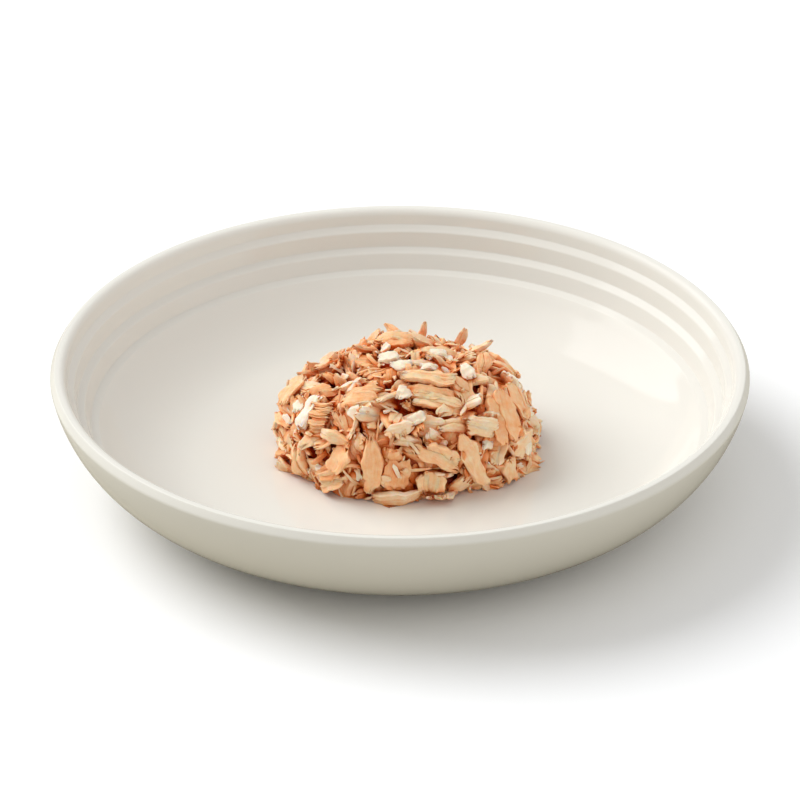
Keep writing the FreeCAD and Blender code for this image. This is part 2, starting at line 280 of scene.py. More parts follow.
bm = bmesh.new()
bm.from_mesh(outline_mesh)
bmesh.ops.spin(bm, geom=bm.verts[:] + bm.edges[:], axis=(0, 0, 1), cent=(0, 0, 0),
               angle=math.tau, steps=TURNED_SIDES, use_merge=True)
bmesh.ops.remove_doubles(bm, verts=bm.verts, dist=WELD)
bmesh.ops.recalc_face_normals(bm, faces=bm.faces)
for face in bm.faces:
    face.smooth = True
bm.to_mesh(outline_mesh)
bm.free()

# The glaze is glossy and off-white, waved a little by the brush. It was wiped off the foot
# ring's underside, where the clay shows warm grey and dull.
glaze, tree = new_material("off_white_glazed_stoneware")
place = add_node(tree, "ShaderNodeTexCoord", {}).outputs["Object"]
waves = add_node(tree, "ShaderNodeTexNoise", {}, Vector=place, Scale=1 / GLAZE_WAVE, Detail=1.0)
waved = add_node(tree, "ShaderNodeBump", {}, Strength=0.5, Distance=WAVE_HEIGHT,
                 Height=waves.outputs["Fac"])
shader = add_node(tree, "ShaderNodeBsdfPrincipled", {}, Base_Color=srgb("#E8E5DC"), Roughness=0.08,
                  IOR=1.52, Normal=waved.outputs["Normal"])
grit = add_node(tree, "ShaderNodeTexNoise", {}, Vector=place, Scale=1 / CLAY_GRIT, Detail=3.0)
gritty = add_node(tree, "ShaderNodeBump", {}, Strength=0.6, Distance=GRIT_HEIGHT,
                  Height=grit.outputs["Fac"])
clay = add_node(tree, "ShaderNodeBsdfPrincipled", {}, Base_Color=srgb("#B9AB97"), Roughness=0.85,
                IOR=1.5, Normal=gritty.outputs["Normal"])
height = add_node(tree, "ShaderNodeSeparateXYZ", {}, place).outputs["Z"]
bare = add_node(tree, "ShaderNodeMapRange", {}, Value=height, From_Min=GLAZE_LINE,
                From_Max=0.5 * GLAZE_LINE)
both = add_node(tree, "ShaderNodeMixShader", {}, bare.outputs["Result"], shader.outputs[0],
                clay.outputs[0])
add_node(tree, "ShaderNodeOutputMaterial", {}, both.outputs[0])
outline_mesh.materials.append(glaze)
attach(bowl, "root")
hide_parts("bowl")


# ------------------------------------------------------------------ the heap's dark core
# A fine, dark, lumpy core under the flakes, which shows only in the gaps between them. Its dark red-brown
# is painted shade for those gaps.
FLOOR = (FOOT_HEIGHT + WALL) * MM
HEAP_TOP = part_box("tuna_heap")[1].z
CORE_INSET = 7.5 * MM
BED_INSET = 0.8 * MM
SHELL_WELD = 0.01 * MM
UNDERSIDE = -0.7                  # a face whose normal points down by more than this
SMOOTHING = 8                     # passes that take the relief off
LUMP_SIZE = 3 * MM
LUMP_HEIGHT = 1.3                 # mm


def heap_shell(name, inset):
    """A copy of the heap's outer form without its relief, drawn in by the inset."""
    mesh = frame["nodes"]["tuna_heap"].data.copy()
    mesh.name = name
    shell = bmesh.new()
    shell.from_mesh(mesh)
    bmesh.ops.remove_doubles(shell, verts=shell.verts, dist=SHELL_WELD)
    bottom = [face for face in shell.faces if face.normal.z < UNDERSIDE]
    bmesh.ops.delete(shell, geom=bottom, context="FACES")
    for _ in range(SMOOTHING):
        bmesh.ops.smooth_vert(shell, verts=shell.verts, factor=0.5, use_axis_x=True,
                              use_axis_y=True, use_axis_z=True)
    shell.normal_update()
    for vertex in shell.verts:
        vertex.co -= vertex.normal * inset
        vertex.co.z = max(vertex.co.z, FLOOR) if not vertex.is_boundary else FLOOR
    shell.to_mesh(mesh)
    shell.free()
    mesh.materials.clear()
    return mesh


core_mesh = heap_shell("core", CORE_INSET)
core = bpy.data.objects.new("wet_core", core_mesh)
scene.collection.objects.link(core)
bm = bmesh.new()
bm.from_mesh(core_mesh)
bmesh.ops.subdivide_edges(bm, edges=bm.edges[:], cuts=1, use_grid_fill=True)
bm.normal_update()
for vertex in bm.verts:
    if not vertex.is_boundary:
        lump = noise.fractal(vertex.co / LUMP_SIZE, 1.0, 2.0, 3)
        vertex.co += vertex.normal * lump * LUMP_HEIGHT * MM
        vertex.co.z = max(vertex.co.z, FLOOR)
bmesh.ops.holes_fill(bm, edges=[edge for edge in bm.edges if edge.is_boundary], sides=0)
bmesh.ops.triangulate(bm, faces=bm.faces)
bmesh.ops.recalc_face_normals(bm, faces=bm.faces)
for face in bm.faces:
    face.smooth = True
bm.to_mesh(core_mesh)
bm.free()

core_shade, tree = new_material("dark_wet_fish_mash")
# painted shade: the core is dark red-brown so that the gaps between flakes look deep in shade
shader = add_node(tree, "ShaderNodeBsdfPrincipled", {}, Base_Color=srgb("#8A2C04"), Roughness=0.5,
                  Specular_IOR_Level=0.1)
add_node(tree, "ShaderNodeOutputMaterial", {}, shader.outputs[0])
core_mesh.materials.append(core_shade)
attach(core, "root")
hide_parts("tuna_heap")


# ------------------------------------------------------------------ the flakes' shapes
# Cooked tuna breaks along its fibres into thick flakes: flat or a little bent, ridged along
# the grain, stepped where a layer has come off, and torn ragged at both ends. Sizes in mm.
NOISE_SEED = 7
SEEDS_APART = 100                 # between the seeds of two families
ARCH = 0.022                      # bends: up along the flake, sideways, and up across it
SWEEP = 0.012
CUP = 0.05
TWIST = 0.045                     # radians for each mm
STRAND_WIDTHS = (1.3, 1.8)        # shares of an even split, so that strands overlap
STRAND_LENGTHS = (0.8, 1.0)
STRAND_THICKNESSES = (0.75, 1.05)
STRAND_SHIFT = 0.07               # share of the length
STRAND_LIFT = 0.3                 # share of half the thickness
END_THINNING = 2.4                # how squarely the ends thin out
RAGGEDNESS = (0.1, 0.45)          # share of half the length that tears take off
TEAR_BIAS = 1.5                   # above 1, most tears are short
LOST_LAYER = 0.38                 # the deepest step, as a share of the thickness
STEP_WANDER = 0.05
EDGE_RUN = 2.2                    # along an edge, before it changes course
EDGE_WANDER = 0.38                # share of half the width
EDGES_APART = 7.0                 # in the noise, so that the two edges differ
RIDGE_RUN = 5
RIDGE_HEIGHT = 0.2                # share of half the thickness
WARP_SIZE = 4.5
WARP_HEIGHT = 1.0
WARP_WIDTH = 5                    # narrower flakes warp less
LUMP_GRAIN = 1.6
LUMP_RELIEF = 0.18
UNDERSIDE_MARK = 30               # moves the underside's fibres away from the top's
FLAKE_MARK = 3.7                  # and each flake's from the next one's
CREASE = math.radians(26)         # sharper edges show as creases

noise.seed_set(NOISE_SEED)


def swell(share, power):
    """Goes from 0 at the ends of -1...1 to 1 between them, more squarely for a high power."""
    return (1 - min(abs(share), 1.0) ** power) ** (1 / power)


def flake_mesh(name, length, width, thick, seed, strands=1, curl=1.0, block=0.5, lumps=1.0,
               along=22, across=12):
    """One flake along X, flat in XY, with its middle at the origin, made of closed strands."""
    draw = random.Random(seed)
    where = Vector([draw.uniform(-99, 99) for _ in range(3)])
    arch = draw.uniform(-0.4, 1.0) * curl * ARCH
    sweep = draw.uniform(-1, 1) * curl * SWEEP
    twist = draw.uniform(-1, 1) * curl * TWIST
    cup = draw.uniform(-0.6, 1.0) * curl * CUP
    vertices, faces, marks = [], [], []
    for strand in range(strands):
        half_width = width / strands / 2 * (1 if strands == 1 else draw.uniform(*STRAND_WIDTHS))
        middle = width * ((strand + 0.5) / strands - 0.5)
        half_length = length / 2 * (1 if strands == 1 else draw.uniform(*STRAND_LENGTHS))
        shift = 0 if strands == 1 else draw.uniform(-STRAND_SHIFT, STRAND_SHIFT) * length
        half_thick = thick / 2 * (1 if strands == 1 else draw.uniform(*STRAND_THICKNESSES))
        lift = 0 if strands == 1 else draw.uniform(-STRAND_LIFT, STRAND_LIFT) * half_thick
        # how squarely each end narrows, and how broad and how thick it is left
        narrow = [draw.uniform(1.6, 2.6 + 8 * block) for _ in range(2)]
        blunt = [draw.uniform(0.12, 0.25 + 0.6 * block) for _ in range(2)]
        thin = [draw.uniform(0.25, 0.75) for _ in range(2)]
        rag = draw.uniform(*RAGGEDNESS)
        tears = [[draw.uniform(0, 1) ** TEAR_BIAS * rag for _ in range(across + 1)] for _ in range(2)]
        ridges = [draw.uniform(-1, 1) for _ in range(2 * across)]
        step_at = [draw.uniform(-0.6, 0.6) for _ in range(2)]
        step_way = [draw.choice((-1, 1)) for _ in range(2)]
        step_drop = [draw.uniform(0.0, LOST_LAYER) for _ in range(2)]
        first = len(vertices)
        for ring in range(along + 1):
            u = math.sin(math.pi * (ring / along - 0.5))
            end = int(u > 0)
            wide = max(swell(u, narrow[end]), blunt[end])
            thickness = max(swell(u, END_THINNING), thin[end])
            for column in range(2 * across):
                top = column <= across
                part = column if top else 2 * across - column
                v = math.sin(math.pi * (part / across - 0.5))
                reach = half_length * (1 - tears[end][part] * abs(u) ** 3)
                x = u * reach + shift
                y = v * half_width * wide
                edge = noise.noise(Vector((x / EDGE_RUN, EDGES_APART * (v > 0), 3.0)) + where)
                y += edge * EDGE_WANDER * half_width * abs(v)
                z = half_thick * thickness * swell(v, 5.0)
                side = int(not top)
                bound = STEP_WANDER * noise.noise(Vector((x, 0, 0)) + where)
                if (v - step_at[side]) * step_way[side] > bound:
                    z *= 1 - step_drop[side]
                wander = 0.6 + 0.9 * noise.noise(Vector((x / RIDGE_RUN, column, 5)) + where)
                z += ridges[column] * wander * RIDGE_HEIGHT * half_thick * swell(v, 2.0) * thickness
                z = z if top else -z
                y += middle
                z += lift + arch * -x * x + cup * y * y
                y += sweep * x * x
                cos, sin = math.cos(twist * x), math.sin(twist * x)
                y, z = y * cos - z * sin, y * sin + z * cos
                point = Vector((x, y, z))
                warp = noise.noise_vector(point / WARP_SIZE + where)
                point += warp * WARP_HEIGHT * min(1, width / WARP_WIDTH)
                point += noise.noise_vector(point / LUMP_GRAIN + where) * LUMP_RELIEF * lumps
                vertices.append(point * MM)
                marks.append((x, y + (0 if top else UNDERSIDE_MARK) + seed * FLAKE_MARK))
        around = 2 * across
        for ring in range(along):
            for column in range(around):
                row = first + ring * around
                after = (column + 1) % around
                faces.append((row + column, row + after, row + around + after, row + around + column))
        for row in (first, first + along * around):
            faces.append((row, row + 1, row + around - 1))
            for part in range(1, across - 1):
                faces.append((row + part, row + part + 1, row + around - part - 1, row + around - part))
            faces.append((row + across - 1, row + across, row + across + 1))
    mesh = bpy.data.meshes.new(name)
    mesh.from_pydata(vertices, [], faces)
    uv = mesh.uv_layers.new(name="fibres")
    for loop in mesh.loops:
        uv.data[loop.index].uv = marks[loop.vertex_index]
    fix = bmesh.new()
    fix.from_mesh(mesh)
    bmesh.ops.recalc_face_normals(fix, faces=fix.faces)
    for face in fix.faces:
        face.smooth = True
    fix.to_mesh(mesh)
    fix.free()
    mesh.set_sharp_from_angle(angle=CREASE)
    return mesh


def flake_family(name, count, lengths, widths, thicks, seed, **more):
    """A collection of different flakes of one kind, as single objects to lay on the heap."""
    family = bpy.data.collections.new(name)
    draw = random.Random(seed)
    for number in range(count):
        mesh = flake_mesh(f"{name}_{number}", draw.uniform(*lengths), draw.uniform(*widths),
                          draw.uniform(*thicks), seed * SEEDS_APART + number, **more)
        family.objects.link(bpy.data.objects.new(mesh.name, mesh))
    return family


# ------------------------------------------------------------------ cooked fish
# Cooked tuna is moist, pinkish tan and a little see-through, paler where it is torn. Light
# goes nearly a millimetre in, so that gaps glow orange. Its fibres show as fine streaks.
FIBRE_SPACING = 0.35              # mm
FIBRE_RUN = 10.0                  # mm along a fibre before its streak changes
PATCH = 3 * MM
GRAIN = 0.9 * MM
GROOVE_DEPTH = 0.3 * MM
SHADE_REACH = 5 * MM                      # gaps narrower than this get painted shade
OPENNESS = (0.15, 0.85)           # from a closed gap to an open face
CREVICE_SHADES = (-0.36, 0.14)      # what those two add to the shade: painted shade in a closed gap, a little painted light on an open face
# painted shade: points of a flake that lie deeper under the heap's form are made darker
SHADE_DEPTHS = (0.7 * MM, 3.8 * MM)
DEEPEST_SHADE = -1.15                 # what the deeper of those adds
STREAKINESS = 0.24
PATCHINESS = 0.50
TUNA_SHADES = (
    (0.0, "#A62E00"), (0.25, "#E87A30"), (0.50, "#FDB37B"), (0.75, "#FFD6AA"), (1.0, "#FFEFDF"),
)

tuna, tree = new_material("cooked_tuna")
fibres = add_node(tree, "ShaderNodeUVMap", {"uv_map": "fibres"}).outputs["UV"]
run = add_node(tree, "ShaderNodeMapping", {}, Vector=fibres,
               Scale=(1 / FIBRE_RUN, 0.5 / FIBRE_SPACING, 1.0))
streak = add_node(tree, "ShaderNodeTexNoise", {"noise_dimensions": "2D"}, Vector=run.outputs["Vector"],
                  Scale=1.0, Detail=4.0, Roughness=0.65).outputs["Fac"]
place = add_node(tree, "ShaderNodeTexCoord", {}).outputs["Object"]
patch = add_node(tree, "ShaderNodeTexNoise", {}, Vector=place, Scale=1 / PATCH, Detail=3.0,
                 Roughness=0.6).outputs["Fac"]
grain = add_node(tree, "ShaderNodeTexNoise", {}, Vector=place, Scale=1 / GRAIN, Detail=2.0).outputs["Fac"]
tone = add_node(tree, "ShaderNodeAttribute", {"attribute_name": "tone"}).outputs["Fac"]
depth = add_node(tree, "ShaderNodeAttribute", {"attribute_name": "depth"}).outputs["Fac"]
# painted shade, darker the deeper a point lies under the heap's form
depth_shade = add_node(tree, "ShaderNodeMapRange", {"interpolation_type": "SMOOTHSTEP"}, Value=depth,
               From_Min=SHADE_DEPTHS[0], From_Max=SHADE_DEPTHS[1], To_Min=0.0, To_Max=DEEPEST_SHADE)
# painted shade in closed-in gaps and slight painted light on open faces, from ambient occlusion
occlusion = add_node(tree, "ShaderNodeAmbientOcclusion", {"samples": 8}, Distance=SHADE_REACH).outputs["AO"]
crevice_shade = add_node(tree, "ShaderNodeMapRange", {}, Value=occlusion, From_Min=OPENNESS[0],
                 From_Max=OPENNESS[1], To_Min=CREVICE_SHADES[0], To_Max=CREVICE_SHADES[1])
shade = add_node(tree, "ShaderNodeMath", {"operation": "ADD"}, tone, depth_shade.outputs["Result"]).outputs[0]
shade = add_node(tree, "ShaderNodeMath", {"operation": "ADD"}, shade, crevice_shade.outputs["Result"]).outputs[0]
for texture, amount in ((streak, STREAKINESS), (patch, PATCHINESS)):
    either_way = add_node(tree, "ShaderNodeMapRange", {}, Value=texture, To_Min=-amount / 2,
                          To_Max=amount / 2).outputs[0]
    shade = add_node(tree, "ShaderNodeMath", {"operation": "ADD"}, shade, either_way).outputs[0]
ramp = add_node(tree, "ShaderNodeValToRGB", {}, shade)
while len(ramp.color_ramp.elements) < len(TUNA_SHADES):
    ramp.color_ramp.elements.new(0.5)
for element, (position, code) in zip(ramp.color_ramp.elements, TUNA_SHADES):
    element.position = position
    element.color = srgb(code)
relief = add_node(tree, "ShaderNodeMath", {"operation": "ADD"}, streak, grain).outputs[0]
grooves = add_node(tree, "ShaderNodeBump", {}, Strength=0.8, Distance=GROOVE_DEPTH, Height=relief)
shader = add_node(tree, "ShaderNodeBsdfPrincipled", {}, Base_Color=ramp.outputs["Color"], Roughness=0.34,
                  IOR=1.4, Specular_IOR_Level=0.15, Subsurface_Weight=0.45, Subsurface_Scale=0.9 * MM,
                  Subsurface_Radius=(1.0, 0.40, 0.18), Coat_Weight=0.2, Coat_Roughness=0.15,
                  Normal=grooves.outputs["Normal"])
add_node(tree, "ShaderNodeOutputMaterial", {}, shader.outputs[0])


# ------------------------------------------------------------------ how flakes lie on the heap
# Flakes lie on the heap's form along its surface, turned any way, tipped and sunk a little.
# One tree lays every kind: it scatters them, keeps them on the bowl's floor and joins them.
EASE = 0.5 * MM                   # how soon a flake bends on to the floor or under the top
DENSEST = 1e6                     # points a square metre, so that only the spacing limits them
SHAPE_DRAWS = 997                 # far more than a family has shapes, and it wraps round
LAYING_INPUTS = (
    ("Heap", "Geometry"), ("Flakes", "Collection"), ("Spacing", "Float"), ("Sink", "Float"),
    ("Unevenness", "Float"), ("Tip", "Float"), ("Smallest", "Float"), ("Largest", "Float"),
    ("Darkest", "Float"), ("Lightest", "Float"), ("Seed", "Int"), ("Finish", "Material"),
)


def laying_tree():
    """Builds the tree that lays one kind of flake over the heap's form."""
    tree = bpy.data.node_groups.new("lay_flakes", "GeometryNodeTree")
    for name, kind in LAYING_INPUTS:
        tree.interface.new_socket(name, in_out="INPUT", socket_type="NodeSocket" + kind)
    tree.interface.new_socket("Laid", in_out="OUTPUT", socket_type="NodeSocketGeometry")
    given = add_node(tree, "NodeGroupInput", {}).outputs

    def eased(over):
        """EASE * log(1 + exp(over / EASE)): comes to 0 slowly and never goes below it."""
        for operation, *values in (("DIVIDE", EASE), ("EXPONENT",), ("ADD", 1.0),
                                   ("LOGARITHM", math.e), ("MULTIPLY", EASE)):
            over = add_node(tree, "ShaderNodeMath", {"operation": operation}, over, *values).outputs[0]
        return over

    least = {}
    for name in ("Unevenness", "Tip"):
        least[name] = add_node(tree, "ShaderNodeMath", {"operation": "MULTIPLY"},
                               given[name], -1.0).outputs[0]
    # what is drawn for each flake: its random stream, its kind, and its lowest and highest value
    drawn = {}
    for name, stream, kind, low, high in (
        ("unevenness", 11, "FLOAT", least["Unevenness"], given["Unevenness"]),
        ("tip", 21, "FLOAT", least["Tip"], given["Tip"]),
        ("roll", 22, "FLOAT", least["Tip"], given["Tip"]),
        ("turn", 23, "FLOAT", 0.0, math.tau),
        ("size", 31, "FLOAT", given["Smallest"], given["Largest"]),
        ("shape", 41, "INT", 0, SHAPE_DRAWS),
        ("tone", 51, "FLOAT", given["Darkest"], given["Lightest"]),
    ):
        seed = add_node(tree, "ShaderNodeMath", {"operation": "ADD"}, given["Seed"], stream).outputs[0]
        value = add_node(tree, "FunctionNodeRandomValue", {"data_type": kind}, Min=low, Max=high, Seed=seed)
        drawn[name] = live(value.outputs, "Value")

    spots = add_node(tree, "GeometryNodeDistributePointsOnFaces", {"distribute_method": "POISSON"},
                     Mesh=given["Heap"], Distance_Min=given["Spacing"], Density_Max=DENSEST,
                     Seed=given["Seed"])
    over = add_node(tree, "ShaderNodeMath", {"operation": "SUBTRACT"}, drawn["unevenness"],
                    given["Sink"]).outputs[0]
    offset = add_node(tree, "ShaderNodeVectorMath", {"operation": "SCALE"}, spots.outputs["Normal"],
                      Scale=over)
    sunk = add_node(tree, "GeometryNodeSetPosition", {}, Geometry=spots.outputs["Points"],
                    Offset=offset.outputs[0])
    angles = add_node(tree, "ShaderNodeCombineXYZ", {}, drawn["tip"], drawn["roll"], drawn["turn"])
    turned = add_node(tree, "FunctionNodeEulerToRotation", {}, angles.outputs[0])
    laid = add_node(tree, "FunctionNodeRotateRotation", {"rotation_space": "LOCAL"},
                    spots.outputs["Rotation"], turned.outputs[0])
    shapes = add_node(tree, "GeometryNodeCollectionInfo", {}, Collection=given["Flakes"],
                      Separate_Children=True, Reset_Children=True)
    placed = add_node(tree, "GeometryNodeInstanceOnPoints", {}, Points=sunk.outputs[0],
                      Instance=shapes.outputs[0], Pick_Instance=True,
                      Instance_Index=drawn["shape"], Rotation=laid.outputs[0], Scale=drawn["size"])
    toned = add_node(tree, "GeometryNodeStoreNamedAttribute", {"data_type": "FLOAT", "domain": "INSTANCE"},
                     Geometry=placed.outputs[0], Name="tone", Value=drawn["tone"])
    joined = add_node(tree, "GeometryNodeRealizeInstances", {}, toned.outputs[0])
    # eased on to the floor and under the top, so that nothing is cut flat
    where = add_node(tree, "GeometryNodeInputPosition", {}).outputs[0]
    x, y, z = add_node(tree, "ShaderNodeSeparateXYZ", {}, where).outputs
    over_floor = add_node(tree, "ShaderNodeMath", {"operation": "SUBTRACT"}, z, FLOOR).outputs[0]
    raised = add_node(tree, "ShaderNodeMath", {"operation": "ADD"}, eased(over_floor), FLOOR).outputs[0]
    under_top = add_node(tree, "ShaderNodeMath", {"operation": "SUBTRACT"}, HEAP_TOP, raised).outputs[0]
    lowered = add_node(tree, "ShaderNodeMath", {"operation": "SUBTRACT"}, HEAP_TOP, eased(under_top))
    kept = add_node(tree, "ShaderNodeCombineXYZ", {}, x, y, lowered.outputs[0])
    rested = add_node(tree, "GeometryNodeSetPosition", {}, Geometry=joined.outputs[0],
                      Position=kept.outputs[0])
    # how deep each point lies under the heap's form, which the tuna finish turns into painted shade
    nearest = add_node(tree, "GeometryNodeProximity", {"target_element": "FACES"}, given["Heap"])
    normal = add_node(tree, "GeometryNodeInputNormal", {}).outputs[0]
    outwards = add_node(tree, "GeometryNodeSampleNearestSurface", {"data_type": "FLOAT_VECTOR"},
                        Mesh=given["Heap"], Value=normal)
    way_out = add_node(tree, "ShaderNodeVectorMath", {"operation": "SUBTRACT"},
                       nearest.outputs["Position"], where)
    under = add_node(tree, "ShaderNodeVectorMath", {"operation": "DOT_PRODUCT"}, way_out.outputs[0],
                     live(outwards.outputs, "Value"))
    marked = add_node(tree, "GeometryNodeStoreNamedAttribute", {"data_type": "FLOAT", "domain": "POINT"},
                      Geometry=rested.outputs[0], Name="depth", Value=under.outputs["Value"])
    finished = add_node(tree, "GeometryNodeSetMaterial", {}, Geometry=marked.outputs[0],
                        Material=given["Finish"])
    add_node(tree, "NodeGroupOutput", {}, finished.outputs[0])
    return tree


LAYING = laying_tree()


def lay(kind, **values):
    """Lays one kind of flake over the heap, as one piece that rides with the bowl."""
    piece = bpy.data.objects.new("tuna_" + kind, heap_shell(kind + "_bed", BED_INSET))
    scene.collection.objects.link(piece)
    modifier = piece.modifiers.new("lay", "NODES")
    modifier.node_group = LAYING
    values["Finish"] = tuna
    for item in LAYING.interface.items_tree:
        if item.in_out == "INPUT" and item.name in values:
            modifier[item.identifier] = values[item.name]
    depsgraph = bpy.context.evaluated_depsgraph_get()
    laid = bpy.data.meshes.new_from_object(piece.evaluated_get(depsgraph),
                                           preserve_all_data_layers=True, depsgraph=depsgraph)
    piece.modifiers.clear()
    piece.data = laid
    laid.name = piece.name
    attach(piece, "root")


# ------------------------------------------------------------------ the loose flakes
# Six kinds, from the deepest to the uppermost: dark flakes that close the heap, big slabs,
# chips and crumbs of them, then thin shreds and splinters that stick out. Sizes in mm.
deep = flake_family("deep", 12, (8, 12), (2.6, 4.8), (1.5, 2.4), 6, block=0.3, curl=2.0, along=11, across=6)
slabs = flake_family("slab", 20, (12, 20), (4.5, 7.5), (2.0, 3.0), 1, strands=3, block=0.2, curl=2.0,
                     along=18, across=5)
chips = flake_family("chip", 20, (8, 12), (2.6, 4.8), (1.5, 2.4), 2, strands=2, block=0.2, curl=2.0,
                     along=16, across=6)
crumbs = flake_family("crumb", 16, (2.8, 6.0), (1.6, 3.2), (1.0, 2.0), 3, block=0.5, lumps=2.0,
                      along=11, across=6)
shreds = flake_family("shred", 8, (8, 13), (0.8, 1.5), (0.6, 1.0), 4, block=0.1, curl=2.0,
                      along=14, across=4)
splinters = flake_family("splinter", 8, (4.5, 8.0), (1.0, 1.8), (0.8, 1.3), 5, block=0.0, curl=1.5,
                         along=10, across=4)
# the deepest flakes get darker tones, painted shade for the inside of the heap
lay("depths", Flakes=deep, Spacing=4.4 * MM, Sink=5.2 * MM, Unevenness=0.8 * MM, Tip=0.5,
    Smallest=0.9, Largest=1.2, Darkest=0.2, Lightest=0.5, Seed=2)
lay("slabs", Flakes=slabs, Spacing=7.2 * MM, Sink=1.9 * MM, Unevenness=1.5 * MM, Tip=0.6,
    Smallest=0.85, Largest=1.1, Darkest=0.36, Lightest=0.72, Seed=3)
lay("chips", Flakes=chips, Spacing=6.4 * MM, Sink=0.9 * MM, Unevenness=1.5 * MM, Tip=0.9,
    Smallest=0.8, Largest=1.15, Darkest=0.36, Lightest=0.78, Seed=5)
lay("crumbs", Flakes=crumbs, Spacing=5.0 * MM, Sink=0.6 * MM, Unevenness=1.2 * MM, Tip=0.9,
    Smallest=0.7, Largest=1.1, Darkest=0.4, Lightest=0.85, Seed=8)
lay("shreds", Flakes=shreds, Spacing=7.0 * MM, Sink=0.0, Unevenness=0.8 * MM, Tip=0.5,
    Smallest=0.6, Largest=1.1, Darkest=0.42, Lightest=0.78, Seed=9)
lay("splinters", Flakes=splinters, Spacing=5.5 * MM, Sink=0.4 * MM, Unevenness=0.8 * MM, Tip=1.2,
    Smallest=0.7, Largest=1.1, Darkest=0.4, Lightest=0.8, Seed=12)
for family in (deep, slabs, chips, crumbs, shreds, splinters):
    for shape in list(family.objects):
        bpy.data.objects.remove(shape)
    bpy.data.collections.remove(family)


# ------------------------------------------------------------------ the flakes on top
# The flakes that catch the eye lie on top, one to a row: long ones down the front, a block
# that shows its cut fibres on the left, a stack of strands below the top, and pale moist bits.
PALE_BUMPS = 1.5 * MM
BUMP_HEIGHT = 0.3 * MM
pale, tree = new_material("pale_fish_jelly")      # whitish, moist and see-through, with no grain
place = add_node(tree, "ShaderNodeTexCoord", {}).outputs["Object"]
cloud = add_node(tree, "ShaderNodeTexNoise", {}, Vector=place, Scale=1 / PALE_BUMPS, Detail=2.0)
bumps = add_node(tree, "ShaderNodeBump", {}, Strength=0.5, Distance=BUMP_HEIGHT,
                 Height=cloud.outputs["Fac"])
shader = add_node(tree, "ShaderNodeBsdfPrincipled", {}, Base_Color=srgb("#FBE6CE"), Roughness=0.25,
                  IOR=1.4, Specular_IOR_Level=0.35, Subsurface_Weight=0.6, Subsurface_Scale=2.0 * MM,
                  Subsurface_Radius=(1.0, 0.6, 0.4), Normal=bumps.outputs["Normal"])
add_node(tree, "ShaderNodeOutputMaterial", {}, shader.outputs[0])

